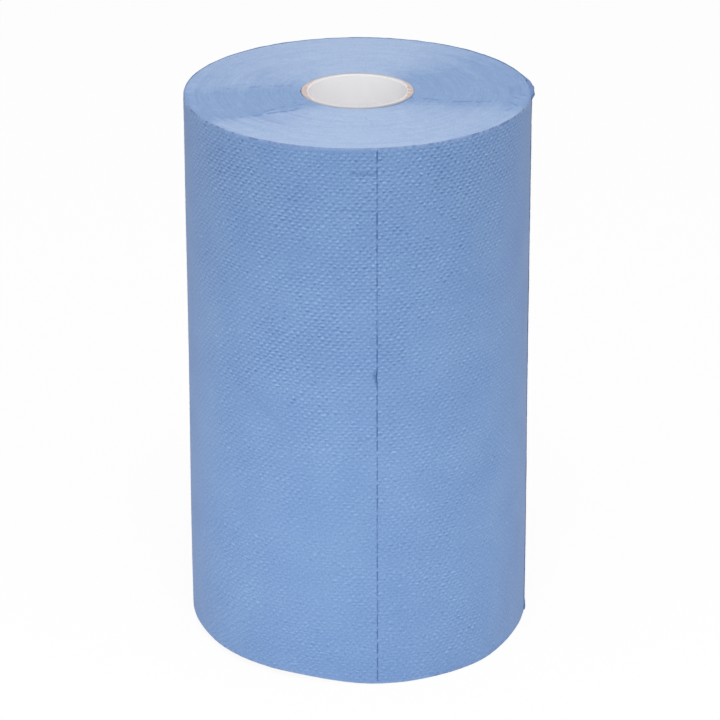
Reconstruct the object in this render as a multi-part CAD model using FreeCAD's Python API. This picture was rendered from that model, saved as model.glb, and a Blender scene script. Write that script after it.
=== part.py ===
import FreeCAD, Part
import math
import os

# A paper towel roll of the industrial wiping kind: one long perforated and embossed web,
# wound on a paperboard core.
# Lengths are in millimetres and angles in degrees. The roll stands on one end, its axis is
# the Z axis, and the origin is on that axis at the lower end. Seen from above, the web winds
# clockwise from the core out to its free edge, which lies near +X.

# Web
WEB_WIDTH = 360.0        # side to side, so this is the height of the standing roll
ROLL_DIAMETER = 218.0    # twice the largest radius, which is at the free edge
SHEET_LOFT = 0.5         # loft of one embossed sheet, and the step at the free edge
RIM_BEVEL = 0.9          # soft edge where the outer turn meets the end faces
TAIL_ANGLE = -4.0        # direction of the free edge, counterclockwise from +X

# Winding lines on the end faces: one spiral groove, each turn for a bundle of tight turns
LINE_PITCH = 9.0         # radial distance from one turn of the groove to the next
LINE_WIDTH = 1.2
LINE_DEPTH = 0.5
RIM_LAND = 2.6           # plain paper between the groove's outer end and the rim
CORE_LAND = 2.0          # plain paper between the groove's inner end and the core

# Perforated lines across the web
SHEET_LENGTH = 265.8     # from one perforated line to the next
SLIT_PITCH = 10.0
SLIT_LENGTH = 7.6
SLIT_WIDTH = 0.4

# Small tear beside the last perforated line
NICK_HEIGHT_UP = 213.0   # above the lower end
NICK_TALL = 3.4
NICK_REACH = 1.6         # along the web, away from the line

# The free edge's two corners, which stand off the roll
TOP_CURL = 2.3           # how far the upper corner stands out
BOTTOM_CURL = 1.0        # how far the lower corner stands out
CURL_TALL = 8.0          # height of each lifted corner
CURL_EASE = 46.0         # added to the roll's radius for the flatter curve of a lifted corner
CURL_ROOT = 0.6          # depth at which a lifted corner is rooted in the turn below
CURL_DROP = 0.3          # how far a lifted corner stops short of the end face

# Core: a laminated paperboard tube
CORE_BORE = 62.0
CORE_WALL = 4.3
CORE_EDGE = 0.4          # broken edge at the tube's ends

# Places that follow from the sizes
largest_radius = ROLL_DIAMETER / 2
least_radius = largest_radius - SHEET_LOFT
core_radius = CORE_BORE / 2 + CORE_WALL
OVERSHOOT = 1.0          # cutters run this far past the faces they open
HALF_TURN = 180.0
UP = FreeCAD.Vector(0, 0, 1)


def direction(angle):
    """Unit vector in the XY plane at an angle counted from the free edge."""
    turned = math.radians(TAIL_ANGLE + angle)
    return FreeCAD.Vector(math.cos(turned), math.sin(turned), 0)


def half_ring(outline, centre, start_angle, sweep=HALF_TURN):
    """A section, given as (radius, height) pairs, revolved about a vertical line."""
    outward = direction(start_angle)
    points = [centre + outward * radius + UP * height for radius, height in outline]
    face = Part.Face(Part.makePolygon(points + points[:1]))
    return face.revolve(centre, UP, sweep)


def half_disc(radius, centre, start_angle):
    """Half of the wound paper, its rims eased, about its own centre."""
    flat = radius - RIM_BEVEL
    outline = [
        (0, 0),
        (flat, 0),
        (radius, RIM_BEVEL),
        (radius, WEB_WIDTH - RIM_BEVEL),
        (flat, WEB_WIDTH),
        (0, WEB_WIDTH),
    ]
    return half_ring(outline, centre, start_angle)


def spiral_half(outer_radius, step):
    """Radius and centre of the half turn that shrinks from outer_radius by half a step.

    A spiral of half circles has two centres, a quarter step either side of the axis, so that
    neighbouring halves meet with one tangent.
    """
    return outer_radius - step / 4, step / 4


def wound_paper():
    """The outer turn as a two-centre spiral that steps down by one sheet at the free edge."""
    back_radius, offset = spiral_half(largest_radius, SHEET_LOFT)
    front_radius, offset = spiral_half(largest_radius - SHEET_LOFT / 2, SHEET_LOFT)
    back = half_disc(back_radius, direction(0) * offset, 0)
    front = half_disc(front_radius, direction(0) * -offset, HALF_TURN)
    return back.fuse(front)


def winding_line(face_height, inward):
    """Cutters for the spiral groove in one end face; inward is -1 on top and 1 below."""
    half_width = LINE_WIDTH / 2
    outer_end = least_radius - RIM_LAND
    inner_limit = core_radius + CORE_LAND + half_width
    halves = int((outer_end - inner_limit) / (LINE_PITCH / 2))
    cutters = []
    for half in range(halves):
        radius, offset = spiral_half(outer_end - half * LINE_PITCH / 2, LINE_PITCH)
        side = half % 2
        centre = direction(side * HALF_TURN) * offset
        outline = [
            (radius - half_width, face_height),
            (radius, face_height + inward * LINE_DEPTH),
            (radius + half_width, face_height),
            (radius + half_width, face_height - inward * OVERSHOOT),
            (radius - half_width, face_height - inward * OVERSHOOT),
        ]
        cutters.append(half_ring(outline, centre, side * HALF_TURN))
    return cutters


def outer_turn_radius(angle):
    """Distance from the axis to the outer turn, at an angle counted back from the free edge."""
    on_back = angle < HALF_TURN
    start = largest_radius if on_back else largest_radius - SHEET_LOFT / 2
    radius, offset = spiral_half(start, SHEET_LOFT)
    lean = math.radians(angle if on_back else angle - HALF_TURN)
    across = offset * math.sin(lean)
    return offset * math.cos(lean) + math.sqrt(radius ** 2 - across ** 2)


def perforation_angles():
    """Angles of the perforated lines on the outer turn, counted back from the free edge."""
    turn_length = math.pi * (largest_radius + least_radius)
    lines = int(turn_length / SHEET_LENGTH)
    return [360.0 * (line + 1) * SHEET_LENGTH / turn_length for line in range(lines)]


def slits(angle):
    """Cutters for one perforated line: short slits through the outer sheet, end to end."""
    surface = outer_turn_radius(angle)
    count = int(WEB_WIDTH / SLIT_PITCH)
    first = (WEB_WIDTH - count * SLIT_PITCH + SLIT_PITCH - SLIT_LENGTH) / 2
    slit = Part.makeBox(SHEET_LOFT + OVERSHOOT, SLIT_WIDTH, SLIT_LENGTH)
    slit.translate(FreeCAD.Vector(surface - SHEET_LOFT, -SLIT_WIDTH / 2, first))
    slit.rotate(FreeCAD.Vector(0, 0, 0), UP, TAIL_ANGLE + angle)
    row = []
    for number in range(count):
        copy = slit.copy()
        copy.translate(UP * number * SLIT_PITCH)
        row.append(copy)
    return row


def nick(angle):
    """Cutter for the small tear: a triangle that opens from the perforated line."""
    surface = outer_turn_radius(angle)
    floor = surface - SHEET_LOFT
    corners = [
        FreeCAD.Vector(floor, SLIT_WIDTH / 2, NICK_HEIGHT_UP - NICK_TALL / 2),
        FreeCAD.Vector(floor, SLIT_WIDTH / 2, NICK_HEIGHT_UP + NICK_TALL / 2),
        FreeCAD.Vector(floor, -SLIT_WIDTH / 2 - NICK_REACH, NICK_HEIGHT_UP),
    ]
    face = Part.Face(Part.makePolygon(corners + corners[:1]))
    tear = face.extrude(FreeCAD.Vector(SHEET_LOFT + OVERSHOOT, 0, 0))
    tear.rotate(FreeCAD.Vector(0, 0, 0), UP, TAIL_ANGLE + angle)
    return tear


def lifted_corner(curl, edge_height, inward):
    """One corner of the free edge: a strip of sheet that leaves the roll on a flatter curve.

    The strip's centre is shifted straight back from where it is rooted, so that it is
    tangent to the roll there, and it stands out by curl at the free edge.
    """
    roll_radius, offset = spiral_half(largest_radius, SHEET_LOFT)
    strip_radius = roll_radius + CURL_EASE
    shift = strip_radius - (roll_radius - CURL_ROOT)
    tip = roll_radius + curl
    cosine = (strip_radius ** 2 - shift ** 2 - tip ** 2) / (2 * shift * tip)
    reach = math.degrees(math.acos(cosine))
    roll_centre = direction(0) * offset
    centre = roll_centre - direction(reach) * shift
    rise = curl + CURL_ROOT
    foot_height = edge_height + inward * CURL_TALL
    outline = [
        (strip_radius, edge_height),
        (strip_radius - SHEET_LOFT, edge_height),
        (strip_radius - SHEET_LOFT - rise, foot_height),
        (strip_radius - rise, foot_height),
    ]
    strip = half_ring(outline, centre, reach, -reach)
    return strip.common(back_space())


def back_space():
    """The half space behind the free edge's plane, as a large half drum."""
    reach = 2 * largest_radius
    outline = [(0, 0), (reach, 0), (reach, WEB_WIDTH), (0, WEB_WIDTH)]
    return half_ring(outline, FreeCAD.Vector(0, 0, 0), 0)


def paper_roll():
    roll = wound_paper()
    top_corner = lifted_corner(TOP_CURL, WEB_WIDTH - CURL_DROP, -1)
    bottom_corner = lifted_corner(BOTTOM_CURL, CURL_DROP, 1)
    roll = roll.fuse([top_corner, bottom_corner]).removeSplitter()
    bore = Part.makeCylinder(core_radius, WEB_WIDTH + 2 * OVERSHOOT, UP * -OVERSHOOT)
    cutters = [bore] + winding_line(WEB_WIDTH, -1) + winding_line(0, 1)
    angles = perforation_angles()
    for angle in angles:
        cutters += slits(angle)
    if angles:
        cutters.append(nick(angles[-1]))
    return roll.cut(cutters)


def core_tube():
    """The paperboard tube, flush with the web at both ends, its edges broken."""
    bore_radius = CORE_BORE / 2
    top = WEB_WIDTH
    outline = [
        (bore_radius, CORE_EDGE),
        (bore_radius + CORE_EDGE, 0),
        (core_radius - CORE_EDGE, 0),
        (core_radius, CORE_EDGE),
        (core_radius, top - CORE_EDGE),
        (core_radius - CORE_EDGE, top),
        (bore_radius + CORE_EDGE, top),
        (bore_radius, top - CORE_EDGE),
    ]
    return half_ring(outline, FreeCAD.Vector(0, 0, 0), 0, 2 * HALF_TURN)


os.makedirs("parts", exist_ok=True)
for name, shape in (("paper_roll", paper_roll()), ("core_tube", core_tube())):
    print(name, "solids", len(shape.Solids), "valid", shape.isValid(), "volume", shape.Volume)
    shape.exportStep("parts/" + name + ".step")
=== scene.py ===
# %% [markdown]
# # A blue wiping roll on a paperboard core
# The roll is one long web of three-ply tissue, embossed with small pillows, perforated into
# sheets and wound on a tube. The frame gives its exact size. This file gives it its looks: the
# pillows, the perforations, the cut ends, the free edge and the tube's plies.
# Every new piece is a surface on a grid, worked out with numpy as whole arrays.

# %% Load the frame
from functools import partial

import bpy
import numpy as np
from mathutils import Matrix, Vector


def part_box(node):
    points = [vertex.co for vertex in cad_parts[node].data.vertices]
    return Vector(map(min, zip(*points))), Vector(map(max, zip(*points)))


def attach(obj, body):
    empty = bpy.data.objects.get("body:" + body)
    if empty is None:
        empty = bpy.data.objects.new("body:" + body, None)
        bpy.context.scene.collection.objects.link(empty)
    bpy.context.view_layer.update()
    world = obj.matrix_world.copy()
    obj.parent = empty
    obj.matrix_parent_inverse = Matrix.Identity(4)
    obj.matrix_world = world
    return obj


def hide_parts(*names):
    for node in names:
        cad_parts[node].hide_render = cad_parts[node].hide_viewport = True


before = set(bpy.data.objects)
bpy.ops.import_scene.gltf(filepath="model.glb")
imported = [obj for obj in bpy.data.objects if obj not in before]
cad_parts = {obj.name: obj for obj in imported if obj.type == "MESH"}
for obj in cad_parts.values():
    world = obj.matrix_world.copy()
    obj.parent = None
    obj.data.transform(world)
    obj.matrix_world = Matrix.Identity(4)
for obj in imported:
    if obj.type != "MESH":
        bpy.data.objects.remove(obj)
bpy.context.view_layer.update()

MM = 0.001

# %% [markdown]
# ## Sizes
# The web's width, the roll's radius and the tube's radii are read from the frame. What the
# frame can't tell, such as where the web is perforated, is a named value in millimetres.
# A place on the web is given by two lengths: s runs back along the outer turn from the free
# edge, and z runs up from the lower end. This suits a rolled sheet better than x and y do.

# %% Sizes
roll_low, roll_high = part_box("paper_roll")
core_low, core_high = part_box("core_tube")
WEB_WIDTH = (roll_high.z - roll_low.z) / MM
MEAN_RADIUS = (roll_high.y - roll_low.y) / 2 / MM
CORE_RADIUS = (core_high.y - core_low.y) / 2 / MM
CORE_BORE_RADIUS = 31.0
SHEET_LOFT = 0.5
TAIL_ANGLE = np.radians(-4.0)
TURN_LENGTH = 2 * np.pi * MEAN_RADIUS
SHEET_LENGTH = 265.8
FRONT = (np.radians(270.0) - TAIL_ANGLE) * MEAN_RADIUS     # s at the middle of the front
print("web %.1f mm wide, mean radius %.2f mm" % (WEB_WIDTH, MEAN_RADIUS))
print("one turn %.1f mm, front at s = %.1f mm" % (TURN_LENGTH, FRONT))


def turn_radius(s):
    """Radius of the outer turn: it loses one sheet's loft over one turn, back from the free edge."""
    return MEAN_RADIUS + SHEET_LOFT / 2 - SHEET_LOFT * s / TURN_LENGTH


def on_roll(s, z, radius):
    """Points at web places s and z, in metres: the angle grows with s, counterclockwise."""
    angle = TAIL_ANGLE + s / MEAN_RADIUS
    return np.stack([radius * np.cos(angle), radius * np.sin(angle), z], -1) * MM


# %% [markdown]
# ## Meshes from arrays
# A grid of points becomes a mesh in one step, and a grid can close on itself, as a ring does.
# Three small formulas shape most of what follows: an eased step, a bell curve and soft noise.

# %% Mesh helpers
def grid_quads(columns, rows, close_columns=False, close_rows=False, first=0):
    """Corner indices of a grid's quads, with the normal along column direction x row direction."""
    across = np.arange(columns if close_columns else columns - 1)
    up = np.arange(rows if close_rows else rows - 1)
    i, j = np.meshgrid(across, up, indexing="ij")
    i_next, j_next = (i + 1) % columns, (j + 1) % rows
    corners = [i * rows + j, i_next * rows + j, i_next * rows + j_next, i * rows + j_next]
    return np.stack(corners, -1).reshape(-1, 4) + first


def new_piece(name, points, quads, rings=(), smooth=True, crease_degrees=40.0):
    """A mesh object from an array of points, an array of quads and a few many-sided faces."""
    corners = np.concatenate([quads.ravel()] + [np.asarray(ring) for ring in rings])
    counts = np.concatenate([np.full(len(quads), 4), [len(ring) for ring in rings]]).astype(int)
    starts = np.concatenate([[0], np.cumsum(counts)[:-1]])
    mesh = bpy.data.meshes.new(name)
    mesh.vertices.add(len(points))
    mesh.vertices.foreach_set("co", np.asarray(points, np.float32).ravel())
    mesh.loops.add(len(corners))
    mesh.loops.foreach_set("vertex_index", corners.astype(np.int32))
    mesh.polygons.add(len(counts))
    mesh.polygons.foreach_set("loop_start", starts.astype(np.int32))
    mesh.update(calc_edges=True)
    mesh.polygons.foreach_set("use_smooth", np.full(len(counts), smooth))
    if smooth:
        mesh.set_sharp_from_angle(angle=np.radians(crease_degrees))
    piece = bpy.data.objects.new(name, mesh)
    bpy.context.scene.collection.objects.link(piece)
    print("%s: %d points, %d triangles" % (name, len(points), (counts - 2).sum()))
    return piece


def keep_values(piece, name, values):
    """One number for each point, kept as an attribute that a material can read."""
    piece.data.attributes.new(name, "FLOAT", "POINT").data.foreach_set(
        "value", np.asarray(values, np.float32).ravel())


def keep_web_map(piece, s, z):
    """A UV map in metres along the web and across it, so patterns keep their real size."""
    corner = np.zeros(len(piece.data.loops), np.int32)
    piece.data.loops.foreach_get("vertex_index", corner)
    flat = np.stack([s.ravel()[corner], z.ravel()[corner]], -1) * MM
    piece.data.uv_layers.new(name="web").data.foreach_set("uv", flat.astype(np.float32).ravel())


def soft_noise(u, v, seed, period=256):
    """Smooth random heights from -1 to 1: random values on a unit lattice, eased in between."""
    table = np.random.default_rng(seed).uniform(-1, 1, (period, 256))
    column, row = np.floor(u).astype(int), np.floor(v).astype(int)
    across, up = u - column, v - row
    across, up = across ** 2 * (3 - 2 * across), up ** 2 * (3 - 2 * up)
    left = table[column % period, row % 256] * (1 - up) + table[column % period, (row + 1) % 256] * up
    column = column + 1
    right = table[column % period, row % 256] * (1 - up) + table[column % period, (row + 1) % 256] * up
    return left * (1 - across) + right * across


def smooth_step(x, low, high):
    """0 below low, 1 above high, with an eased ramp between."""
    t = np.clip((x - low) / (high - low), 0, 1)
    return t * t * (3 - 2 * t)


def bell(x, centre, reach):
    """1 at the centre and about a third one reach away: e to the minus square of the distance."""
    return np.exp(-((x - centre) / reach) ** 2)


# %% [markdown]
# ## A roll that isn't quite true
# A heavy soft roll isn't a true cylinder. It swells towards its foot, the foot is a little out
# of round, and over the front left the lower edges of the turns have slid up along the tube.

# %% Out of true
SWELL_ALL, SWELL_LOW = 0.33, 0.85       # mm on the radius everywhere, and more of it low down
FOOT_TALL = 85.0                        # the foot's own shape fades out over this height
FOOT_FULLER = 2.2                       # mm on the radius at the front right
FOOT_FLATS = (                          # s, reach along the web, and mm taken off the radius
    (FRONT + 132.0, 19.0, 0.8),
    (FRONT - 122.0, 15.0, 0.5),
)
SLID_UP, SLID_MORE = 3.1, 1.6           # mm over the front left, and more near its left end


def swell(z):
    """How far the standing roll swells towards its foot, in mm on the radius."""
    return SWELL_ALL + SWELL_LOW * (1 - smooth_step(z, 40.0, 215.0))


def foot_bulge(s, z):
    """How far the foot is out of round, in mm: fuller at the front right, flatter at two places."""
    fuller = smooth_step(s, FRONT - 16.0, FRONT + 30.0) * (1 - smooth_step(s, FRONT + 78.0, FRONT + 116.0))
    flatter = sum(loss * bell(s, centre, reach) for centre, reach, loss in FOOT_FLATS)
    return (FOOT_FULLER * fuller - flatter) * (1 - smooth_step(z, 0.0, FOOT_TALL))


def foot_lift(s):
    """How far the turns' lower edges have slid up, in mm: a level stretch and a bell on its left."""
    level = smooth_step(s, FRONT - 300.0, FRONT - 172.0) * (1 - smooth_step(s, FRONT - 44.0, FRONT + 10.0))
    return SLID_UP * level + SLID_MORE * bell(s, FRONT - 150.0, 26.0)


print("foot: up to %.1f mm fuller, lower edge up to %.1f mm higher" % (
    SWELL_ALL + SWELL_LOW + FOOT_FULLER, foot_lift(np.linspace(0, TURN_LENGTH, 700)).max()))

# %% [markdown]
# ## The embossed pillows
# A steel roller presses the web between rows of points, which leaves small raised pillows,
# wider than tall, in staggered rows. Bump alone would leave the roll's outline and its rim
# smooth, so the pillows are real: four columns of points for each pitch along the web and two
# lines for each row. Winding has flattened them unevenly, so their height wanders.

# %% Emboss pattern
QUARTERS_PER_SHEET = 229        # a quarter pitch is the spacing of the mesh's columns
PITCH_ALONG = 4 * SHEET_LENGTH / QUARTERS_PER_SHEET
LINES_UP = 313                  # a quarter of the pattern's height is the spacing of the lines
PITCH_UP = 4 * WEB_WIDTH / LINES_UP
NARROW_ALONG, NARROW_UP = 1.0, 3.8      # a larger power makes a narrower pillow
PILLOW_LIFT = 0.30
LEAST_LIFT, MOST_LIFT = 0.10, 1.6       # shares of PILLOW_LIFT
PLAIN_EDGE, PLAIN_FRONT = 1.3, 1.9      # the web's edges are pressed smooth, a little wider in front
print("pillows every %.3f mm along and %.3f mm up, staggered" % (PITCH_ALONG, PITCH_UP))


def drawn(s, z):
    """Where the roller's pattern lies on the web: shifted by slow noise, as the web stretched.

    The shift is larger low down and at the left, where the photo's rows are hard to follow.
    """
    along = 0.55 * soft_noise(s / 8.0, z / 9.0, 14) + 0.45 * soft_noise(s / 3.9, z / 3.3, 16)
    up = 0.36 * soft_noise(s / 9.0, z / 7.0, 15) + 0.28 * soft_noise(s / 4.7, z / 3.5, 17)
    at_left = 1 - smooth_step(s, FRONT - 95.0, FRONT - 55.0)
    stretch = 2.4 - 1.4 * smooth_step(z, 70.0, 210.0) + 0.55 * at_left
    return s + stretch * along, z + stretch * up


def pillows(s, z):
    """0 between the pillows and 1 on their tops.

    A raised cosine along the web, to a power, times one up the web. The staggered rows are the
    same product half a pitch further on both ways, where each cosine has changed its sign.
    """
    along = 0.5 * np.cos(2 * np.pi * s / PITCH_ALONG)
    up = 0.5 * np.cos(2 * np.pi * z / PITCH_UP)
    first = (0.5 + along) ** NARROW_ALONG * (0.5 + up) ** NARROW_UP
    return first + (0.5 - along) ** NARROW_ALONG * (0.5 - up) ** NARROW_UP


FLAT_PATCHES = (                # centre s and z, reaches, and the share of the lift that is lost
    (FRONT - 58.0, 222.0, 30.0, 50.0, -0.30),
    (FRONT + 66.0, 60.0, 34.0, 44.0, -0.60),
    (FRONT - 88.0, 60.0, 40.0, 34.0, -0.40),
    (FRONT - 60.0, 186.0, 9.0, 12.0, 0.70),
    (FRONT - 20.0, 96.0, 60.0, 40.0, 0.40),
    (FRONT + 92.0, 190.0, 22.0, 190.0, 0.25),
    (FRONT + 142.0, 190.0, 22.0, 250.0, 0.85),
    (FRONT - 108.0, 190.0, 20.0, 190.0, 0.25),
    (FRONT - 146.0, 190.0, 22.0, 250.0, 0.90),
    (FRONT - 86.0, 344.0, 28.0, 28.0, -0.50),
    (FRONT + 92.0, 345.0, 22.0, 22.0, -0.50),
    (FRONT + 62.0, 335.0, 30.0, 34.0, -0.55),
)


def in_front(s):
    """1 near the middle of the front, fading to 0 at both sides."""
    return bell(s, FRONT - 12.0, 42.0)


def from_web_edge(z):
    """Distance up the web from its nearer edge."""
    return np.minimum(z, WEB_WIDTH - z)


def pillow_lift(s, z):
    """Height of the pillows in mm: taller near the top, lower where winding pressed them flat."""
    lift = 0.85 + 0.30 * soft_noise(s / 17.0, z / 17.0, 11) + 0.50 * soft_noise(s / 3.1, z / 2.6, 12)
    lift = lift * (0.56 + 0.52 * smooth_step(z, 40.0, 330.0))
    for centre_s, centre_z, reach_s, reach_z, loss in FLAT_PATCHES:
        lift = lift * (1 - loss * bell(s, centre_s, reach_s) * bell(z, centre_z, reach_z))
    plain_width = PLAIN_EDGE + PLAIN_FRONT * in_front(s)
    pressed = smooth_step(from_web_edge(z), plain_width - 1.1, plain_width + 0.6)
    return PILLOW_LIFT * np.clip(lift, LEAST_LIFT, MOST_LIFT) * pressed


# %% [markdown]
# ## Creases and waves in the outer sheets
# The web isn't wound perfectly flat. It has slow waves a few tens of millimetres long, one soft
# slanting wrinkle, and three short sharp creases at the perforated line. A crease is the
# distance to a short segment, put through a bell curve.

# %% Creases and waves
WAVE = 0.22                     # mm
CREASES = (                     # from s, z to s, z, half width, depth, and how dark it looks
    (FRONT - 5.5, 343.9, FRONT + 12.3, 343.9, 0.60, 0.24, 0.40),
    (FRONT - 14.0, 321.0, FRONT + 13.3, 319.6, 0.60, 0.22, 0.34),
    (FRONT - 2.0, 169.0, FRONT + 7.0, 169.0, 0.7, 0.10, 0.20),
    (FRONT - 88.0, 203.0, FRONT - 42.0, 169.0, 2.6, 0.22, 0.05),
    (FRONT - 72.0, 199.0, FRONT - 54.0, 186.0, 1.6, 0.14, 0.04),
)


def segment_bell(x, y, x0, y0, x1, y1, half_width):
    """1 on the segment from (x0, y0) to (x1, y1), falling to 0 a few half widths away from it."""
    length = np.hypot(x1 - x0, y1 - y0)
    along = ((x - x0) * (x1 - x0) + (y - y0) * (y1 - y0)) / length ** 2
    off = ((x - x0) * (y1 - y0) - (y - y0) * (x1 - x0)) / length
    ends = smooth_step(along, -0.05, 0.2) * (1 - smooth_step(along, 0.8, 1.05))
    return bell(off, 0.0, half_width) * ends


def web_sag(s, z):
    """How far the outer sheet lies below its true turn in mm, and how dark the creases are.

    Slow noise gives the waves, and each crease adds its depth times its bell.
    """
    waves = WAVE * (0.3 + 0.5 * soft_noise(s / 46.0, z / 70.0, 21))
    sag = waves + 0.05 * soft_noise(s / 13.0, z / 13.0, 22)
    shade = np.zeros_like(sag)
    for s0, z0, s1, z1, half_width, depth, dark in CREASES:
        fold = segment_bell(s, z, s0, z0, s1, z1, half_width)
        sag = sag + depth * fold
        shade = np.maximum(shade, dark * fold)
    return np.clip(sag, 0, None), shade


# %% [markdown]
# ## Perforated lines
# A toothed blade cuts slits across the web and leaves narrow bonds. Along such a line the sheet
# is split into two pieces here. Each piece ends in a narrow lip that drops into the slit and
# stays level at a bond, so two neighbours together show the dashes of a real perforation.

# %% Perforation
SLIT_PITCH = 10.0
SLIT_FLOOR, SLIT_LIP = 0.14, 0.50       # half widths of the slit's floor and of its mouth
SLIT_DEPTH = 0.42
BOND_WANDER = 0.9               # how far a bond may lie from its even place
HALF_BONDS = 0.45, 1.15         # the narrowest and the widest half of a bond
NICK_STROKES = (                # back from the line and z, twice, then half width and depth share
    (0.25, 215.4, 0.55, 207.0, 0.85, 1.0),
    (1.2, 215.6, 2.4, 212.2, 0.60, 0.55),
    (2.4, 212.8, 1.6, 209.6, 0.60, 0.55),
)


def slit_share(z, seed):
    """1 in a slit and 0 on a bond: the distance from the nearest bond, which wanders a little."""
    count = int(round(WEB_WIDTH / SLIT_PITCH))
    random = np.random.default_rng(seed)
    bonds = SLIT_PITCH * np.arange(count + 1) + random.uniform(-BOND_WANDER, BOND_WANDER, count + 1)
    half_bond = random.uniform(*HALF_BONDS, count + 1)
    nearest = np.abs(z[..., None] - bonds).argmin(-1)
    return smooth_step(np.abs(z - bonds[nearest]) - half_bond[nearest], 0.0, 0.9)


# %% [markdown]
# ## The outer turn
# What shows of the side is one turn of the web: a whole sheet from the free edge back, a second
# whole sheet, and part of a third that runs on under the free edge. Each is a thin closed shell
# with a detailed front and a plain back, which has fewer rows because nobody sees it. The free
# edge is a torn perforation, so it has small tufts at the bonds, and its two corners stand off.

# %% Outer sheets
SKIN = 0.75                     # from a sheet's true turn in to its plain back
LEAST_SKIN = 0.04               # left where a slit or furrow nearly reaches the back
RIM_DROP, RIM_TALL = 0.50, 1.9  # how far a sheet's cut edge leans in at the two ends
TOP_CURL, TOP_CURL_TALL = 1.9, 4.2
BOTTOM_CURL, BOTTOM_CURL_TALL = 1.1, 6.0
CURL_PLATEAU, CURL_REACH = 14.0, 46.0
CURL_THICK = 0.95               # share of a corner's stand-off that its crumpled edge fills
UNDERLAP = 25.0                 # how far the third sheet runs on under the free edge
TUFT_LENGTH = 0.4               # how far the bonds stand out of the free edge
BACK_HEIGHTS = (0.0, 1.5, 3.0, 5.0, 8.5, 14.0, 40.0, 70.0, 100.0, 130.0, 160.0)


def corner_lift(s, z):
    """How far the free edge's corners stand out, in mm.

    Along the web it is level near the corner and then eases to nothing, up the web it is a
    slope that starts a few millimetres from the end, and noise crumples both.
    """
    along = 1 - smooth_step(s, CURL_PLATEAU, CURL_REACH)
    top = np.clip(1 - (WEB_WIDTH - z) / TOP_CURL_TALL, 0, 1)
    bottom = np.clip(1 - z / BOTTOM_CURL_TALL, 0, 1) * (0.2 + 0.8 * smooth_step(z, 0.0, 2.2))
    crumple = 1 + 0.16 * soft_noise(s / 3.0, z / 2.0, 51) + 0.08 * soft_noise(s / 1.3, z / 1.3, 52)
    return along * (TOP_CURL * top + BOTTOM_CURL * bottom) * crumple


def corner_shade(s, z):
    """Dark spots, from 0 to 1, in the folds of the crumpled corners."""
    spots = smooth_step(soft_noise(s / 2.0, z / 1.6, 53), -0.2, 0.6)
    lift = corner_lift(s, z)
    return np.clip(lift / 1.6, 0, 1) * (0.20 + 0.50 * spots) + 0.30 * smooth_step(lift, 1.0, 1.9)


def edge_wander(s, z):
    """The cut edges aren't ruled lines: they dip by a few tenths of a millimetre."""
    dip = 0.16 + 0.10 * soft_noise(s / 6.0, s * 0, 31) + 0.06 * soft_noise(s / 1.7, s * 0, 32)
    near_top = smooth_step(z, WEB_WIDTH - 12.0, WEB_WIDTH)
    near_bottom = 1 - smooth_step(z, 0.0, 12.0)
    slid = foot_lift(s) * (1 - smooth_step(z, 0.0, 30.0))
    return z - dip * near_top + (dip - 0.16) * 0.5 * near_bottom + 0.08 * near_bottom + slid


def rim_gap_shade(s, z):
    """Painted shade, from 0 to 1, in the gaps where the cut edge runs between pillows; least at the front.
    """
    near = 1 - smooth_step(from_web_edge(z), 0.3, 2.2)
    spots = smooth_step(soft_noise(s / 1.5, z / 3.0, 35), 0.0, 0.45)
    return 0.60 * near * spots * (1 - 0.8 * in_front(s))


def sheet_columns(s_from, s_to):
    """Places along a sheet: a quarter pitch apart, with three close ones for each end's slits."""
    quarters = round((s_to - s_from) / (PITCH_ALONG / 4))
    inside = np.linspace(s_from, s_to, quarters + 1)[1:-1]
    lips = np.array([0, SLIT_FLOOR, SLIT_LIP])
    return np.concatenate([s_from + lips, inside, s_to - lips[::-1]])


def sheet_rows():
    """Heights on a sheet's front: even lines, with three close ones at each cut edge."""
    inside = np.linspace(0, WEB_WIDTH, LINES_UP + 1)[1:-1]
    ends = np.array([0, 0.4, 0.8])
    return np.concatenate([ends, inside, WEB_WIDTH - ends[::-1]])


def slits_and_nick(s, z, s_from, s_to, free_edge, hidden_end):
    """Shares from 0 to 1 of the slits at a sheet's two ends, and of the tear beside the last."""
    slit, nick = np.zeros_like(s), np.zeros_like(s)
    if not free_edge:
        slit[:2] = slit_share(z[:2], int(s_from))
    if not hidden_end:
        slit[-2:] = slit_share(z[-2:], int(s_to))
    if not free_edge and not hidden_end:
        for s0, z0, s1, z1, half_width, share in NICK_STROKES:
            nick = np.maximum(nick, share * segment_bell(s_to - s, z, s0, z0, s1, z1, half_width))
    return slit, nick


def back_radius(s, z):
    """Radius of a sheet's plain back, which follows the waves but not the pillows."""
    return turn_radius(s) - SKIN - web_sag(s, z)[0]


def on_real_roll(s, z, radius, shift=0.0):
    """Points on the roll as it stands, with the edges' wander and the foot's own shape."""
    return on_roll(s + shift, edge_wander(s, z), radius + swell(z) + foot_bulge(s, z))


def shell_faces(n, m, k):
    """Quads of a front of n by m points and a back of n by k, joined top and bottom, and two rims."""
    base = n * m
    i = np.arange(n - 1)
    front_low, back_low = i * m, base + i * k
    front_high, back_high = front_low + m - 1, back_low + k - 1
    quads = np.concatenate([
        grid_quads(n, m),
        grid_quads(n, k, first=base)[:, ::-1],
        np.stack([back_low, back_low + k, front_low + m, front_low], -1),
        np.stack([front_high, front_high + m, back_high + k, back_high], -1),
    ])
    front, back = np.arange(base).reshape(n, m), base + np.arange(n * k).reshape(n, k)
    rims = [np.concatenate([front[0], back[0, ::-1]]), np.concatenate([front[-1, ::-1], back[-1]])]
    return quads, rims


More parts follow.
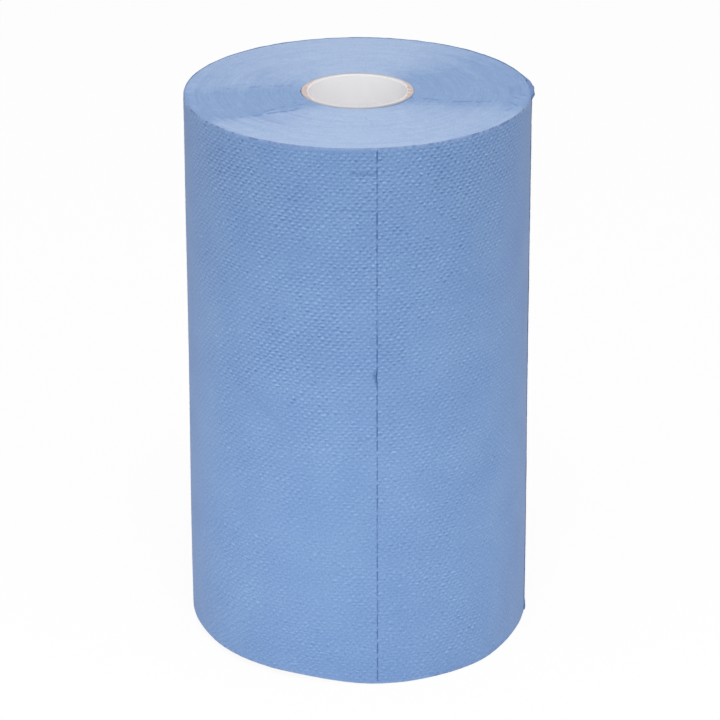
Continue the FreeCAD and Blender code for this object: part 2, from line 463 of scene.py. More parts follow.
def outer_sheet(name, s_from, s_to, free_edge=False, hidden_end=False):
    """A shell over the web from s_from to s_to; its front carries the pillows and the slits."""
    columns, rows = sheet_columns(s_from, s_to), sheet_rows()
    s, z = np.meshgrid(columns, rows, indexing="ij")
    height, lift = pillows(*drawn(s, z)), pillow_lift(s, z)
    sag, shade = web_sag(s, z)
    lapped = smooth_step(s, TURN_LENGTH - 8, TURN_LENGTH)
    rim = np.clip(1 - from_web_edge(z) / RIM_TALL, 0, 1) * (1 - lapped)
    slit, nick = slits_and_nick(s, z, s_from, s_to, free_edge, hidden_end)
    front = turn_radius(s) - lift * (1 - height) - sag
    front = front - RIM_DROP * rim ** 2 - SLIT_DEPTH * np.maximum(slit, nick)
    front = np.maximum(front, back_radius(s, z) + LEAST_SKIN)

    back_rows = np.array(BACK_HEIGHTS + tuple(WEB_WIDTH - h for h in reversed(BACK_HEIGHTS)))
    back_s, back_z = np.meshgrid(columns, back_rows, indexing="ij")
    back = back_radius(back_s, back_z)

    tufts = np.zeros_like(s)
    if free_edge:
        front += corner_lift(s, z)
        back += corner_lift(back_s, back_z) * (1 - CURL_THICK)
        shade = np.maximum(shade, corner_shade(s, z))
        torn = 0.15 * soft_noise(z[:2] / 2.1, z[:2] * 0, 33)
        tufts[:2] = torn - TUFT_LENGTH * (1 - slit_share(z[:2], 5))
    front_points = on_real_roll(s, z, front, tufts)
    back_points = on_real_roll(back_s, back_z, back)

    quads, rims = shell_faces(len(columns), len(rows), len(back_rows))
    points = np.concatenate([front_points.reshape(-1, 3), back_points.reshape(-1, 3)])
    piece = new_piece(name, points, quads, rings=rims)
    # The shade value is painted shade: in the slits and the tear, in the creases, in the corners' folds
    # and in the gaps along the cut edges.
    slit_shade = slit * (0.66 + 0.34 * soft_noise(z / 13.0, s * 0, 36))
    shade = np.max([shade, slit_shade, nick, rim_gap_shade(s, z)], 0)
    for value_name, front_values in (("lift", lift / PILLOW_LIFT), ("shade", shade), ("rim", rim)):
        keep_values(piece, value_name, np.concatenate([front_values.ravel(), np.zeros(back_s.size)]))
    all_s = np.concatenate([s.ravel(), back_s.ravel()])
    all_z = np.concatenate([z.ravel(), back_z.ravel()])
    keep_web_map(piece, *drawn(all_s, all_z))
    return piece


outer_sheets = [
    outer_sheet("free_edge_sheet", 0.0, SHEET_LENGTH, free_edge=True),
    outer_sheet("second_sheet", SHEET_LENGTH, 2 * SHEET_LENGTH),
    outer_sheet("third_sheet", 2 * SHEET_LENGTH, TURN_LENGTH + UNDERLAP, hidden_end=True),
]

# %% [markdown]
# ## The wound turns and their cut ends
# Under the outer turn lie a hundred or more others, seen only as their cut edges on the two end
# faces. One closed ring carries both faces. Its rings of points zigzag by a tenth of a
# millimetre, because real turn edges make fine concentric ridges. The face is painted pale, a
# painted sheen, in front and at the back, where you look across the ridges, and bluer at left and
# right, where you look along them. Where it is bluer it also sinks a tenth of a millimetre.
# Handling has left a few long creases, which carry painted shade, and two wedges between them
# are painted bluer still.

# %% Wound turns
AROUND = 660                    # points round the axis
TOP_RINGS, BOTTOM_RINGS = 92, 40
RIDGE = 0.05                    # half the height of the zigzag, in mm
UNDER_OUTER = 0.34              # room that the outer turn's pillows and waves need
FACE_CREASES = (                # from x, y to x, y on the upper face, half width and depth in mm
    (-40.0, 10.2, -56.0, 8.2, 1.1, 0.34),
    (-52.0, 8.0, -70.0, 6.8, 1.0, 0.30),
    (-66.0, 5.2, -84.0, 4.6, 1.0, 0.22),
    (-60.0, 13.0, -80.0, 10.5, 1.0, 0.14),
    (-78.0, -3.0, -90.0, -5.0, 1.0, 0.14),
    (-80.0, 4.0, -93.0, -8.0, 0.9, 0.12),
    (-30.0, -25.0, -38.0, -27.5, 0.9, 0.26),
    (-28.0, -31.0, -40.0, -35.5, 1.0, 0.30),
    (-34.0, -19.5, -48.0, -30.5, 1.1, 0.36),
    (-44.0, -28.5, -60.0, -41.5, 1.1, 0.42),
    (-37.0, -36.0, -57.0, -43.0, 1.2, 0.46),
    (-52.0, -42.5, -74.0, -50.5, 1.1, 0.46),
    (-66.0, -46.5, -84.0, -53.5, 1.0, 0.30),
    (27.0, -13.0, 46.0, -15.2, 1.1, 0.46),
    (43.0, -15.0, 60.0, -18.5, 1.0, 0.38),
    (56.0, -20.5, 78.0, -21.5, 1.1, 0.46),
    (70.0, -19.5, 92.0, -23.8, 1.0, 0.26),
    (38.0, -25.5, 50.0, -28.5, 0.9, 0.16),
    (60.0, -27.0, 78.0, -29.0, 0.9, 0.14),
    (3.8, -45.6, 6.4, -60.0, 0.7, 0.16),
    (7.0, -58.0, 11.5, -72.0, 0.7, 0.16),
    (-2.0, 62.0, 7.0, 77.0, 0.7, 0.10),
    (46.0, 30.0, 62.0, 37.0, 0.8, 0.10),
    (24.0, -62.0, 34.0, -66.0, 0.8, 0.12),
    (-22.0, -78.0, -12.0, -86.0, 0.8, 0.10),
    (98.0, -5.0, 106.0, -12.0, 0.8, 0.34),
    (96.5, -13.0, 104.0, -20.0, 0.8, 0.34),
    (101.5, -19.0, 101.0, -28.0, 0.7, 0.30),
    (93.0, -21.0, 99.0, -31.0, 0.8, 0.30),
    (96.0, -33.0, 90.0, -40.0, 0.8, 0.24),
    (104.5, -2.0, 97.0, -2.5, 0.7, 0.30),
    (103.0, 4.0, 99.0, -8.0, 0.7, 0.24),
    (98.0, 10.0, 95.0, -3.0, 0.7, 0.18),
    (84.0, -7.0, 112.0, 10.0, 9.0, 0.17),
    (-24.0, -54.0, -88.0, -48.0, 13.0, 0.13),
)


def face_relief(radius, angle, ring_number, seed):
    """Height of the turn edges in mm: zigzag ridges, bands that stand a little proud, slow waves."""
    turns = angle / (2 * np.pi)
    zigzag = RIDGE * (1 - 2 * (ring_number % 2)) * soft_noise(turns * 40, radius / 9.0, seed, 40)
    bands = 0.06 * soft_noise(turns * 3, radius / 3.1, seed + 1, 3)
    waves = 0.16 * soft_noise(turns * 9, radius / 34.0, seed + 2, 9)
    return zigzag + bands + waves - 0.25


def crease_field(x, y, creases):
    """Depth of the creases at a place on the end face in mm: the deepest of their wavering bells."""
    depth = np.zeros_like(x)
    radius = np.hypot(x, y)
    for number, (x0, y0, x1, y1, half_width, amount) in enumerate(creases):
        wander = 0.8 * soft_noise(radius / 5.0, x * 0, 80 + number)
        broken = np.clip(0.6 + 1.1 * soft_noise(radius / 3.0, x * 0, 180 + number), 0.1, 1.2)
        fold = segment_bell(x, y + wander, x0, y0, x1, y1, half_width)
        depth = np.maximum(depth, amount * broken * fold)
    return depth


def painted_sheen_loss(radius, angle):
    """How blue the cut edges are painted, from 0 to 1: at 0 they get the full painted sheen.

    The squared cosine of the direction leaves them pale, a painted sheen, in front and at the back,
    and makes them bluer at left and right, where the eye looks along them. Two wedges between long
    creases are painted bluer still.
    """
    x, y = radius * np.cos(angle), radius * np.sin(angle)
    wobble = 4.0 * soft_noise(radius / 11.0, angle * 4, 90)
    upper = 1 - smooth_step(y - (8.6 + (x + 50.0) * 0.13) + wobble, -24.0, 12.0)
    lower = smooth_step(y - (-26.6 + (x + 24.5) * 0.487) + wobble, -8.0, 9.0)
    left = upper * lower * (x < 0)
    above = smooth_step(y - (-25.0 - (x - 31.0) * 0.075) + wobble, -18.0, 17.0)
    turned = (angle + np.pi) % (2 * np.pi) - np.pi
    right = above * (1 - smooth_step(turned, np.radians(12.0), np.radians(80.0))) * (x > 0)
    patchy = 1 + 0.20 * soft_noise(x / 14.0, y / 14.0, 91)
    patchy = patchy + 0.18 * soft_noise(radius / 4.0, angle * 2.5, 92)
    return np.clip((0.55 * np.cos(angle) ** 2 + 0.70 * (left + right)) * patchy, 0, 1)


def core_gap(angle):
    """Room in mm between the tube and the paper, which stand apart a little at two places."""
    front_right = bell(np.degrees(angle), 305.0, 24.0)
    left = bell(np.degrees(angle), 184.0, 15.0)
    return 0.05 + 1.05 * front_right + 0.30 * left


def back_from_edge(angle):
    """The place s on the outer turn at an angle about the axis."""
    return (angle - TAIL_ANGLE) % (2 * np.pi) * MEAN_RADIUS


def body_radius(angle):
    """Radius of the turns under the outer one; the step down is hidden beyond the underlap."""
    s = back_from_edge(angle)
    s_spiral = np.where(s < UNDERLAP + 6, s + TURN_LENGTH, s)
    ramp = smooth_step(s, UNDERLAP + 2, UNDERLAP + 6) * (s < UNDERLAP + 6)
    return turn_radius(s_spiral) - SHEET_LOFT - UNDER_OUTER + ramp * SHEET_LOFT


def end_face(angle, inner, outer, rings, seed):
    """Radius and relief of an end face's points, one row of rings for each angle."""
    share = np.linspace(0, 1, rings)[None]
    radius = inner + (outer - inner) * share
    return radius, face_relief(radius, angle + 0 * share, np.arange(rings)[None], seed)


def wound_turns():
    """One closed ring: upper face, hidden outer wall, lower face and the wall round the tube.

    Angles, and the radii of the two walls, are columns, so that each meets every ring.
    """
    angle = np.linspace(0, 2 * np.pi, AROUND, endpoint=False)[:, None]
    outer, inner = body_radius(angle), CORE_RADIUS + core_gap(angle)
    s = back_from_edge(angle)

    r_top, h_top = end_face(angle, inner, outer, TOP_RINGS, 41)
    creases = crease_field(r_top * np.cos(angle), r_top * np.sin(angle), FACE_CREASES)
    # How far each point falls short of the full painted sheen; the face also sinks a little there.
    sheen_loss = painted_sheen_loss(r_top, angle + 0 * r_top)
    shoulder = smooth_step(outer - r_top, 2.6, 0.0)
    z_top = WEB_WIDTH + h_top - creases - 0.10 * sheen_loss - 0.25 * shoulder

    r_low, h_low = end_face(angle, inner, outer, BOTTOM_RINGS, 61)
    z_low = np.clip(-h_low * 0.5, 0.02, 1) + foot_lift(s) * smooth_step(r_low, 70.0, 100.0)

    wall_heights = np.concatenate([[WEB_WIDTH - 0.9], np.linspace(WEB_WIDTH * 0.6, 5.0, 8)])[None]
    r_out, z_out = outer + 0.03 + 0 * wall_heights, wall_heights + 0 * outer
    r_in, z_in = inner + 0 * wall_heights, wall_heights[:, ::-1] + 0 * inner

    radius = np.concatenate([r_top, r_out, r_low[:, ::-1], r_in], 1)
    height = np.concatenate([z_top, z_out, z_low[:, ::-1], z_in], 1)
    fuller = swell(height) + foot_bulge(s, height)
    swollen = radius + fuller * smooth_step(radius, CORE_RADIUS, MEAN_RADIUS)
    points = np.stack([swollen * np.cos(angle), swollen * np.sin(angle), height], -1) * MM
    quads = grid_quads(AROUND, radius.shape[1], True, True)[:, ::-1]
    piece = new_piece("wound_turns", points.reshape(-1, 3), quads)
    none_low = np.zeros((AROUND, radius.shape[1] - TOP_RINGS))
    keep_values(piece, "painted_sheen_loss", np.concatenate([sheen_loss, none_low + 0.35], 1))
    keep_values(piece, "crease", np.concatenate([creases, none_low], 1))
    return piece


turns = wound_turns()

# %% [markdown]
# ## The paperboard tube
# The tube is wound from strips of board on a mandrel and sawn to length. Its profile, an outline
# in radius and height, is carried round the axis. The seam of the inner strip is a tenth of a
# millimetre deep and the plies are hardly more, so the material draws their colours.

# %% Core tube
CORE_AROUND = 288               # points round the axis
BORE_ROWS = 40                  # levels up the bore, the last ones close to the ends


def core_tube():
    """The tube as a closed ring of its profile, with broken edges and sawn plies."""
    inside = np.linspace(0.8, WEB_WIDTH - 0.8, BORE_ROWS - 2)
    bore_rows = np.concatenate([[0.35], inside, [WEB_WIDTH - 0.35]])
    wall = CORE_RADIUS - CORE_BORE_RADIUS
    end_share = np.array([0.04, 0.13, 0.26, 0.38, 0.5, 0.62, 0.74, 0.87, 0.96])
    end_radius = CORE_BORE_RADIUS + wall * end_share
    ply_edges = 0.05 * np.array([-1, 0.6, -0.8, 0.7, -0.9, 0.8, -0.7, 0.6, -1])
    radius = np.concatenate([np.full(BORE_ROWS, CORE_BORE_RADIUS), end_radius,
                             [CORE_RADIUS - 0.03] * 2, end_radius[::-1]])
    height = np.concatenate([bore_rows, WEB_WIDTH - 0.10 + ply_edges,
                             [WEB_WIDTH - 0.5, 0.5], 0.10 - ply_edges[::-1]])
    angle = np.linspace(0, 2 * np.pi, CORE_AROUND, endpoint=False)
    a, r = np.meshgrid(angle, radius, indexing="ij")
    z = np.repeat(height[None], CORE_AROUND, 0)
    on_end = (np.arange(len(radius)) >= BORE_ROWS)[None]
    z = z + on_end * 0.05 * soft_noise(a * 48 / (2 * np.pi), r / 0.9, 71, 48)
    z = np.clip(z, 0.0, None)
    points = np.stack([r * np.cos(a), r * np.sin(a), z], -1) * MM
    quads = grid_quads(CORE_AROUND, len(radius), True, True)[:, ::-1]
    return new_piece("core_plies", points.reshape(-1, 3), quads, crease_degrees=25.0)


core = core_tube()

# %% [markdown]
# ## Materials
# Colours are written as sRGB hex, as a picture shows them, and one function turns them to the
# linear values that the shaders need. One function adds a node of any kind with its settings and
# links, and gives back one of its outputs, so each material below reads as a list of its nodes.

# %% Material helpers
def linear(hex_code, alpha=1.0):
    """An sRGB hex colour as linear RGBA."""
    parts = np.array([int(hex_code[i:i + 2], 16) for i in (1, 3, 5)]) / 255
    flat = np.where(parts <= 0.04045, parts / 12.92, ((parts + 0.055) / 1.055) ** 2.4)
    return (*flat, alpha)


def add_node(tree, kind, inputs=None, output=0, **settings):
    """Adds a node, sets its properties, fills each input with a value or a link, gives an output."""
    node = tree.nodes.new("ShaderNode" + kind)
    for name, value in settings.items():
        setattr(node, name, value)
    for name, value in (inputs or {}).items():
        if isinstance(value, bpy.types.NodeSocket):
            tree.links.new(value, node.inputs[name])
        else:
            node.inputs[name].default_value = value
    return node.outputs[output] if node.outputs else None


def new_material(name):
    """An empty material, and the function that adds a node to it."""
    material = bpy.data.materials.new(name)
    material.use_nodes = True
    material.node_tree.nodes.clear()
    return material, partial(add_node, material.node_tree)


def laid_over(add, colour, hex_code, value, low, high, most=1.0):
    """A second colour over the first: none of it where the value is low, the most where high."""
    share = add("MapRange", {"Value": value, "From Min": low, "From Max": high, "To Max": most})
    return add("Mix", {0: share, 6: colour, 7: linear(hex_code)}, 2, data_type="RGBA")


def tinted(add, colour, hex_code, value, low, high):
    """The colour multiplied by another where the value is low, and as it was where it is high."""
    share = add("MapRange", {"Value": value, "From Min": low, "From Max": high})
    tint = {0: 1.0, 6: colour, 7: linear(hex_code)}
    dyed = add("Mix", tint, 2, data_type="RGBA", blend_type="MULTIPLY")
    return add("Mix", {0: share, 6: dyed, 7: colour}, 2, data_type="RGBA")


def place_and_radius(add):
    """The place on the object, and its distance from the axis, both in metres."""
    place = add("TexCoord", output="Object")
    flat = add("VectorMath", {0: place, 1: (1, 1, 0)}, operation="MULTIPLY")
    return place, add("VectorMath", {0: flat}, "Value", operation="LENGTH")


def finished(add, colour, relief, distance, bump_strength, finish):
    """A principled surface, with the relief as a bump, joined to the material's output."""
    normal = add("Bump", {"Height": relief, "Strength": bump_strength, "Distance": distance})
    shader = add("BsdfPrincipled", {"Base Color": colour, "Normal": normal, **finish})
    add("OutputMaterial", {"Surface": shader})


# %% [markdown]
# ### Embossed tissue
# Creped tissue is soft and fully matt: light goes into the loose fibres and comes out diffuse,
# and the fuzz on its surface lightens it at a glancing angle, which is what sheen does. The dye
# is a mid blue. The tops of the pillows are painted paler, a painted highlight, and a spot just
# below each pillow is painted darker, a painted shadow, as light from above would leave them.
# A tiled picture of the emboss would repeat, so the shader works out the mesh's own formula for
# the pillows, and colour and fine relief fall where the mesh stands out.

# %% Embossed tissue
# The first colour is a painted highlight for the pillow tops, the second the dye, and the third a painted
# shadow below each pillow.
PAINTED_PILLOW_HIGHLIGHT, PILLOW_FOOT, PAINTED_PILLOW_SHADOW = "#91B2D6", "#7896BD", "#5976A3"
RIM_BAND_GREY, SLIT_SHADE = "#8B9EC2", "#274B80"
WARP = 0.0018                   # metres by which the shader's pattern wanders off the mesh's
PILLOW_SHADOW_SHIFT = -0.0003, 0.00115 # metres from a pillow to its painted shadow
UNEVEN = (                      # lumps in mm, noise from and to, and pillow strength from and to
    (5.0, 0.35, 0.65, 0.50, 1.00),
    (2.4, 0.36, 0.64, 0.35, 1.05),
)
TISSUE_FINISH = {
    "Roughness": 0.88, "IOR": 1.45, "Specular IOR Level": 0.25,
    "Sheen Weight": 0.17, "Sheen Roughness": 0.45, "Sheen Tint": linear("#DDCACA"),
}


def lattice(add, along, up):
    """The formula of pillows() in shader nodes; along and up are in metres."""
    waves = []
    for place, pitch in ((along, PITCH_ALONG), (up, PITCH_UP)):
        angle = add("Math", {0: place, 1: 2000 * np.pi / pitch}, operation="MULTIPLY")
        waves.append(add("Math", {0: angle}, operation="COSINE"))
    rows = []
    for sign in (0.5, -0.5):
        narrow = []
        for wave, power in zip(waves, (NARROW_ALONG, NARROW_UP)):
            raised = add("Math", {0: wave, 1: sign, 2: 0.5}, operation="MULTIPLY_ADD")
            narrow.append(add("Math", {0: raised, 1: power}, operation="POWER"))
        rows.append(add("Math", dict(enumerate(narrow)), operation="MULTIPLY"))
    return add("Math", dict(enumerate(rows)), operation="ADD")


def embossed_tissue():
    """Three-ply creped tissue, dyed blue and embossed: matt, faintly cloudy, a little fuzzy."""
    material, add = new_material("embossed_blue_tissue")
    web = add("UVMap", uv_map="web")
    lift, shade, rim = (add("Attribute", output="Fac", attribute_name=name)
                        for name in ("lift", "shade", "rim"))

    pull = add("TexNoise", {"Vector": web, "Scale": 1000 / 3.2, "Detail": 1.0}, "Color")
    pulled = add("VectorMath", {0: pull, 1: (WARP,) * 3, 2: web}, operation="MULTIPLY_ADD")
    places = [add("SeparateXYZ", {0: pulled}, axis) for axis in "XY"]
    strength = lift
    for size, low, high, least, most in UNEVEN:
        lumps = add("TexNoise", {"Vector": web, "Scale": 1000 / size, "Detail": 1.0})
        share = add("MapRange", {"Value": lumps, "From Min": low, "From Max": high,
                                 "To Min": least, "To Max": most})
        strength = add("Math", {0: strength, 1: share}, operation="MULTIPLY")
    pillow = add("Math", {0: lattice(add, *places), 1: strength}, operation="MULTIPLY")
    # The same lattice, moved down by a little over a millimetre, places the painted shadow below each
    # pillow.
    moved = [add("Math", {0: place, 1: by}, operation="ADD") for place, by in zip(places, PILLOW_SHADOW_SHIFT)]
    pillow_shadow = add("Math", {0: lattice(add, *moved), 1: strength}, operation="MULTIPLY")

    clouds = add("TexNoise", {"Vector": web, "Scale": 1000 / 35.0, "Detail": 3.0, "Roughness": 0.55})
    fibre = add("TexNoise", {"Vector": web, "Scale": 1000 / 1.2, "Detail": 3.0, "Roughness": 0.75})
    stretch = add("Mapping", {"Vector": web, "Scale": (1.0, 0.28, 1.0)})
    crepe = add("TexNoise", {"Vector": stretch, "Scale": 1000 / 0.9})
    # Painted highlight on the pillow tops, then painted shadow below each pillow.
    colour = laid_over(add, linear(PILLOW_FOOT), PAINTED_PILLOW_HIGHLIGHT, pillow, 0.0, 0.8)
    colour = laid_over(add, colour, PAINTED_PILLOW_SHADOW, pillow_shadow, 0.0, 0.9, 0.85)
    colour = tinted(add, colour, "#F1F4FA", clouds, 0.3, 0.7)
    colour = tinted(add, colour, "#D6DEEE", fibre, 0.35, 0.65)
    # A greyer band over the outer two millimetres of each cut edge, where the sheet rounds over.
    colour = laid_over(add, colour, RIM_BAND_GREY, rim, 0.0, 1.0, 0.7)
    # Painted shade in the slits, the tear, the creases, the corners' folds and the gaps along the cut
    # edges.
    colour = laid_over(add, colour, SLIT_SHADE, shade, 0.0, 1.0, 0.85)

    grain = add("Math", {0: crepe, 1: fibre}, operation="ADD")
    grain = add("Math", {0: grain, 1: 0.12}, operation="MULTIPLY")
    relief = add("Math", {0: pillow, 1: 0.34, 2: grain}, operation="MULTIPLY_ADD")
    finished(add, colour, relief, 0.001, 1.0, TISSUE_FINISH)
    return material


# %% [markdown]
# ### Cut turn edges
# The end faces are tissue too, but sawn across: thousands of torn fibre ends, paler and softer
# than the side. The colour follows the painted sheen that the mesh keeps for each point, pale in
# front and at the back and bluer at the sides, with fine streaks that run round the roll. Real
# turns are half a millimetre apart or less, too fine for this picture, so the streaks are drawn
# about twice as coarse. A wave texture would give rings as even as on a lathe, so noise is
# stretched round the axis instead.

# %% Cut turn edges
EDGE_PAINTED_SHEEN, EDGE_BLUE, EDGE_CREASE_SHADE = "#ABBED9", "#86A2C7", "#6A85B6"
EDGE_FINISH = {
    "Roughness": 0.92, "IOR": 1.45, "Specular IOR Level": 0.2,
    "Sheen Weight": 0.15, "Sheen Roughness": 0.6, "Sheen Tint": linear("#E6ECF8"),
}


def cut_edges():
    """The sawn ends of a tissue roll: pale, matt, finely streaked round the axis."""
    material, add = new_material("sawn_tissue_edges")
    place, radius = place_and_radius(add)
    sheen_loss, crease = (add("Attribute", output="Fac", attribute_name=name) for name in ("painted_sheen_loss", "crease"))
    turn = add("CombineXYZ", {"Z": radius})
    along = add("VectorMath", {0: place, 1: (0.03, 0.03, 0.0)}, operation="MULTIPLY")
    round_place = add("VectorMath", {0: along, 1: turn}, operation="ADD")
    streaks = add("TexNoise", {"Vector": round_place, "Scale": 1000 / 1.3, "Detail": 3.0,
                               "Roughness": 0.65})
    fibre = add("TexNoise", {"Vector": place, "Scale": 1000 / 1.2, "Detail": 3.0, "Roughness": 0.7})
    blotch = add("TexNoise", {"Vector": place, "Scale": 1000 / 8.0, "Detail": 4.0, "Roughness": 0.65})
    blotch = add("Math", {0: blotch, 1: 0.9, 2: -0.45}, operation="MULTIPLY_ADD")
    sheen_loss = add("Math", {0: sheen_loss, 1: blotch}, operation="ADD")
    # Painted sheen: pale in front and at the back, bluer at left and right and in the two wedges.
    colour = laid_over(add, linear(EDGE_PAINTED_SHEEN), EDGE_BLUE, sheen_loss, 0.0, 1.0)
    colour = tinted(add, colour, "#ECEFF7", streaks, 0.32, 0.68)
    colour = tinted(add, colour, "#E8ECF5", fibre, 0.35, 0.65)
    # Painted shade in the creases of the end face, and in the two broad, shallow dips at the end of the
    # crease list.
    colour = laid_over(add, colour, EDGE_CREASE_SHADE, crease, 0.03, 0.30, 0.8)
    grain = add("Math", {0: streaks, 1: fibre}, operation="ADD")
    finished(add, colour, grain, 0.00012, 1.0, EDGE_FINISH)
    return material


# %% [markdown]
# ### White-lined paperboard
# The tube's board is grey-brown recycled fibre with a smooth white liner on the inside. The
# liner is a little glossier than tissue, and one faint helical seam runs up it. At the sawn end
# the saw has dragged the liner's white across most of the wall. Only at the left and the right,
# and in a ragged outer band, do the pinkish tan plies show, and then a grey band next to the
# paper, which is painted shadow of the gap between tube and paper.
# The distance from the axis picks the colour, which needs no unwrapping and fits both ends.

# %% White-lined paperboard
LINER_REACH = 6.0               # mm of white before the rags are taken off, 2.3 on average
RAGS = ((9.0, 2.4), (2.2, 2.2))         # size and depth of the rags in mm
BARE_LINER, BARE_GAP_SHADOW = 3.1, 2.0       # mm by which both edges move at the left and the right
PLY_THICKNESS = 0.75
STRIP_WIDTH = 96.0              # climb of the inner strip in one turn
SEAM_HALF_WIDTH = 0.5
BOARD_PALE, BOARD_DARK, BOARD_DUST = "#C0B0AA", "#AB958B", "#D3C6BF"
LINER_WHITE, LINER_SAWN, SEAM_GREY, GAP_SHADOW_GREY = "#FAF9FB", "#D3CFCD", "#D6D3D6", "#9AA0B0"
BOARD_FINISH = {"Roughness": 0.62, "IOR": 1.47, "Specular IOR Level": 0.4}


def helical_seam(add, place):
    """1 on the helix z = STRIP_WIDTH * (turns - 0.3) and 0 beyond the seam's half width."""
    x, y, z = (add("SeparateXYZ", {0: place}, axis) for axis in "XYZ")
    angle = add("Math", {0: y, 1: x}, operation="ARCTAN2")
    turned = add("Math", {0: angle, 1: 2 * np.pi}, operation="DIVIDE")
    climbed = add("Math", {0: z, 1: 1000 / STRIP_WIDTH, 2: 0.8}, operation="MULTIPLY_ADD")
    ahead = add("Math", {0: climbed, 1: turned}, operation="SUBTRACT")
    share = add("Math", {0: ahead}, operation="FRACT")
    from_seam = add("Math", {0: share, 1: 0.5}, operation="SUBTRACT")
    from_seam = add("Math", {0: from_seam}, operation="ABSOLUTE")
    half_share = SEAM_HALF_WIDTH / STRIP_WIDTH
    return add("MapRange", {"Value": from_seam, "From Min": 0.4 * half_share,
                            "From Max": 1.6 * half_share, "To Min": 1.0, "To Max": 0.0})


def lined_board():
    """Recycled board with a white liner: satin white inside, tan plies at the sawn ends."""
    material, add = new_material("white_lined_board")
    place, radius = place_and_radius(add)
    across = add("Math", {0: add("SeparateXYZ", {0: place}, "X"), 1: radius}, operation="DIVIDE")
    across = add("Math", {0: across}, operation="ABSOLUTE")
    bare = add("Math", {0: across, 1: 5.0}, operation="POWER")
    reached = add("Math", {0: bare, 1: BARE_LINER * MM, 2: radius}, operation="MULTIPLY_ADD")
    for size, depth in RAGS:
        rags = add("TexNoise", {"Vector": place, "Scale": 1000 / size})
        reached = add("Math", {0: rags, 1: depth * MM, 2: reached}, operation="MULTIPLY_ADD")
    edge = CORE_BORE_RADIUS + LINER_REACH
    past_liner = add("MapRange", {"Value": reached, "From Min": (edge - 0.4) * MM,
                                  "From Max": (edge + 0.4) * MM})
    sawn = add("MapRange", {"Value": radius, "From Min": (CORE_BORE_RADIUS + 0.05) * MM,
                            "From Max": (CORE_BORE_RADIUS + 0.3) * MM})
    board_share = add("Math", {0: sawn, 1: past_liner}, operation="MULTIPLY")
    gap_shadow_radius = add("Math", {0: bare, 1: -BARE_GAP_SHADOW * MM, 2: radius}, operation="MULTIPLY_ADD")

    specks = add("TexNoise", {"Vector": place, "Scale": 1000 / 1.6, "Detail": 4.0, "Roughness": 0.7})
    dust = add("TexNoise", {"Vector": place, "Scale": 1000 / 3.0, "Detail": 3.0, "Roughness": 0.7})
    plies = add("Math", {0: radius, 1: 2000 * np.pi / PLY_THICKNESS}, operation="MULTIPLY")
    plies = add("Math", {0: plies}, operation="SINE")
    board = laid_over(add, linear(BOARD_PALE), BOARD_DARK, plies, 0.0, 1.0)
    board = laid_over(add, board, BOARD_DUST, dust, 0.45, 0.65)
    liner = laid_over(add, linear(LINER_WHITE), "#FCFBFC", specks, 0.35, 0.7)
    liner = laid_over(add, liner, SEAM_GREY, helical_seam(add, place), 0.0, 1.0, 0.35)
    liner = laid_over(add, liner, LINER_SAWN, sawn, 0.0, 1.0)
    colour = add("Mix", {0: board_share, 6: liner, 7: board}, 2, data_type="RGBA")
    # Painted shadow of the gap between tube and paper: a grey band at the tube's outer edge.
    gap_shadow_from, gap_shadow_to = (CORE_RADIUS - 3.0) * MM, (CORE_RADIUS - 1.5) * MM
    colour = laid_over(add, colour, GAP_SHADOW_GREY, gap_shadow_radius, gap_shadow_from, gap_shadow_to, 0.85)
    finished(add, colour, specks, 0.00003, 0.1, BOARD_FINISH)
    return material


tissue_material, edge_material, board_material = embossed_tissue(), cut_edges(), lined_board()
for piece in outer_sheets:
    piece.data.materials.append(tissue_material)
turns.data.materials.append(edge_material)
core.data.materials.append(board_material)
for material in (tissue_material, edge_material, board_material):
    print("%s: %d nodes" % (material.name, len(material.node_tree.nodes)))

# %% [markdown]
# ## Riding on the frame
# A roll has no moving parts, so every piece rides on the one body. The outer sheets and the
# wound turns stand for the paper solid, and the tube stands for the core solid.

# %% Ride on the frame
for piece in outer_sheets + [turns]:
    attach(piece, "root")
    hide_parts("paper_roll")
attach(core, "root")
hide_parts("core_tube")

# %% [markdown]
# ## Floor, light and camera
# The roll stands on a white table. Pale surroundings give most of the light. One lamp stands
# high in front, a weak broad one faces the roll, and two small ones near the foot stand for the
# light that a bright table sends back up. The camera sees the table as nearly white, and it
# still takes a trace of the roll's shadow.

# %% Floor
FLOOR_HALF = 6.0                # metres
FLOOR_GAP = 0.0003              # metres below the roll, so that the two faces don't flicker
FLOOR_GLOW = 0.93               # share of plain white that the camera sees


def seen_straight(add):
    """1 for rays that a viewer sees directly, in gloss or through glass, and 0 for other light."""
    camera, gloss, glass = (add("LightPath", output="Is %s Ray" % kind)
                            for kind in ("Camera", "Glossy", "Transmission"))
    seen = add("Math", {0: camera, 1: gloss}, operation="MAXIMUM")
    return add("Math", {0: seen, 1: glass}, operation="MAXIMUM")


def white_floor():
    """A large plane just under the roll; for the camera it is mostly a plain white."""
    side, level = FLOOR_HALF, roll_low.z - FLOOR_GAP
    corners = [[-side, -side, level], [side, -side, level], [side, side, level], [-side, side, level]]
    floor = new_piece("floor", np.array(corners), np.array([[0, 1, 2, 3]]), smooth=False)
    material, add = new_material("white_floor")
    paint = add("BsdfDiffuse", {"Color": linear("#F4F4F4")})
    glow = add("Emission", {"Color": (1, 1, 1, 1), "Strength": 1.0})
    share = add("Math", {0: seen_straight(add), 1: FLOOR_GLOW}, operation="MULTIPLY")
    add("OutputMaterial", {"Surface": add("MixShader", {0: share, 1: paint, 2: glow})})
    floor.data.materials.append(material)


white_floor()

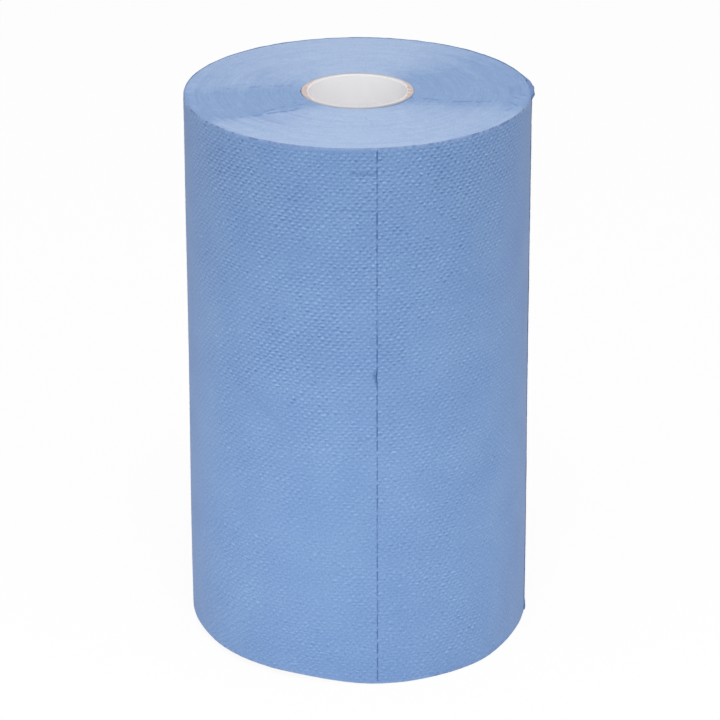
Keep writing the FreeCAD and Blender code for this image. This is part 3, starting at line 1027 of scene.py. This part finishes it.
# %% Light
WORLD_STRENGTH = 0.69
NEUTRAL, FLOOR_TINT = (1.0, 1.0, 1.0), (1.0, 0.98, 0.91)
MIDDLE, FOOT = (0.0, 0.0, WEB_WIDTH * MM / 2), (0.0, 0.0, 0.02)
LIGHTS = (                      # name, place, target, size in metres, watts and tint
    ("overhead_softbox", (0.02, -0.80, 1.90), MIDDLE, 0.4, 15.0, NEUTRAL),
    ("front_softbox", (0.10, -2.6, 0.3), MIDDLE, 1.2, 2.0, NEUTRAL),
    ("low_left_fill", (-0.34, -0.40, 0.07), FOOT, 0.12, 0.70, FLOOR_TINT),
    ("low_right_fill", (0.35, -0.40, 0.07), FOOT, 0.12, 0.54, FLOOR_TINT),
)


def studio_world(strength):
    """Pale surroundings: plain white to the camera and in gloss, dimmer as a light."""
    world = bpy.data.worlds.new("studio")
    bpy.context.scene.world = world
    world.use_nodes = True
    world.node_tree.nodes.clear()
    add = partial(add_node, world.node_tree)
    level = add("MapRange", {"Value": seen_straight(add), "To Min": strength, "To Max": 1.0})
    sky = add("Background", {"Color": (1, 1, 1, 1), "Strength": level})
    add("OutputWorld", {"Surface": sky})


def soft_light(name, place, target, size, watts, tint):
    """A square softbox at place, turned towards target, in metres."""
    lamp = bpy.data.lights.new(name, "AREA")
    lamp.shape, lamp.size, lamp.energy, lamp.color = "SQUARE", size, watts, tint
    holder = bpy.data.objects.new(name, lamp)
    bpy.context.scene.collection.objects.link(holder)
    aim = (Vector(target) - Vector(place)).to_track_quat("-Z", "Y")
    holder.matrix_world = Matrix.Translation(place) @ aim.to_matrix().to_4x4()


studio_world(WORLD_STRENGTH)
for light in LIGHTS:
    soft_light(*light)
print("lights:", ", ".join(light[0] for light in LIGHTS))

# %% Camera
CAMERA_BACK, CAMERA_UP = 2.0779, 1.0592         # metres in front of the axis and above the floor
CAMERA_PITCH, CAMERA_YAW, CAMERA_ROLL = np.radians([23.007, 0.033, -0.119])
FOCAL_LENGTH, SENSOR_WIDTH = 174.98, 36.0       # mm


def photo_camera():
    """A camera built from its own three directions, so that its turn is plain to read."""
    ahead_flat = Vector((np.sin(CAMERA_YAW), np.cos(CAMERA_YAW), 0))
    right = Vector((np.cos(CAMERA_YAW), -np.sin(CAMERA_YAW), 0))
    ahead = ahead_flat * np.cos(CAMERA_PITCH) - Vector((0, 0, np.sin(CAMERA_PITCH)))
    up = ahead_flat * np.sin(CAMERA_PITCH) + Vector((0, 0, np.cos(CAMERA_PITCH)))
    tilted_right = right * np.cos(CAMERA_ROLL) + up * np.sin(CAMERA_ROLL)
    tilted_up = up * np.cos(CAMERA_ROLL) - right * np.sin(CAMERA_ROLL)
    lens = bpy.data.cameras.new("photo_camera")
    lens.lens, lens.sensor_width, lens.clip_end = FOCAL_LENGTH, SENSOR_WIDTH, 50.0
    camera = bpy.data.objects.new("photo_camera", lens)
    bpy.context.scene.collection.objects.link(camera)
    turn = Matrix((tilted_right, tilted_up, -ahead)).transposed().to_4x4()
    camera.matrix_world = Matrix.Translation((0, -CAMERA_BACK, CAMERA_UP)) @ turn
    bpy.context.scene.camera = camera


photo_camera()
bpy.context.scene.view_settings.view_transform = "Standard"

# %% [markdown]
# ## Finish
# The dressed roll has to stay in the solid's box, apart from the millimetre or two by which soft
# paper stands proud.

# %% Finish
bpy.context.view_layer.update()
